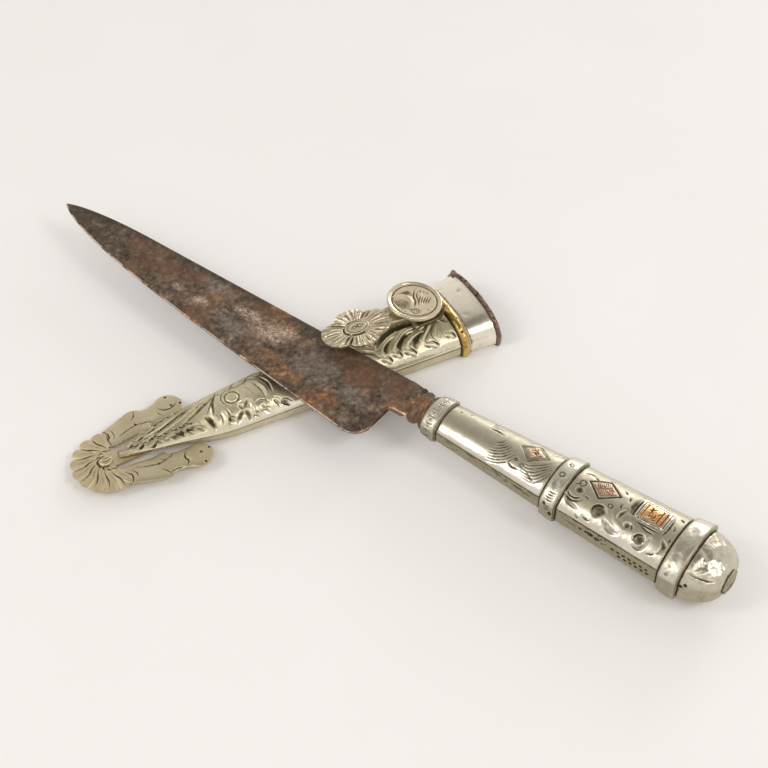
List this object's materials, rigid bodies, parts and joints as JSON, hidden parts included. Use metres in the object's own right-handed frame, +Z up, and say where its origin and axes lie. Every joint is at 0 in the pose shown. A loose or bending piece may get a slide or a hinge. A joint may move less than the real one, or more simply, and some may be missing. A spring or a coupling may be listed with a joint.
{
  "type": "gaucho knife with sheath",
  "caption": "Knife with a metal-covered handle lying across its hollow metal sheath, the blade under the sheath's belt hook.",
  "frame": {"origin": "on the sheath's flat back, where the knife's axis crosses the sheath's axis", "axes": "+X along the sheath from the chape to the throat, +Z up out of the sheath's front, +Y across the sheath towards the blade's point"},
  "size_m": [0.1561, 0.2466, 0.0209],
  "materials": {
    "blade_iron": "old forged steel, browned and rusty",
    "core_wood": "bare hardwood, hidden inside the handle",
    "grip_silver": "silver sheet, worn bright with dark tarnish in the engraving",
    "ring_silver": "silver, tarnished in the corners",
    "copper": "copper inlay, worn",
    "sheath_silver": "embossed nickel silver, polished on the high places",
    "sheath_plain": "plain nickel silver, matt",
    "lip_copper": "dark copper-brown, worn",
    "brass": "brass, bright on the crest and dark at the edges",
    "hook_alpaca": "yellowish nickel silver, matt",
    "chape_alpaca": "yellowish nickel silver, matt and tarnished"
  },
  "bodies": {
    "sheath": {"sheath_front": "sheath_silver", "sheath_back": "sheath_plain", "throat_band": "sheath_silver", "throat_lip": "lip_copper", "brass_bead": "brass", "belt_hook": "hook_alpaca", "medal_post": "hook_alpaca", "medallion": "hook_alpaca", "chape_plate": "chape_alpaca"},
    "knife": {"blade": "blade_iron", "grip_core": "core_wood", "front_sleeve": "grip_silver", "rear_sleeve": "grip_silver", "front_ferrule": "ring_silver", "mid_ring": "ring_silver", "rear_ring": "ring_silver", "pommel_cap": "grip_silver", "tang_button": "ring_silver", "small_rhombus": "copper", "quartered_rhombus": "copper", "copper_plaque": "copper", "plaque_frame": "ring_silver"}
  },
  "joints": [
    {"name": "knife_draw", "type": "slide", "parent": "sheath", "child": "knife", "axis": [0.3971, -0.9178, 0], "range_m": [0, 0.14]}
  ]
}
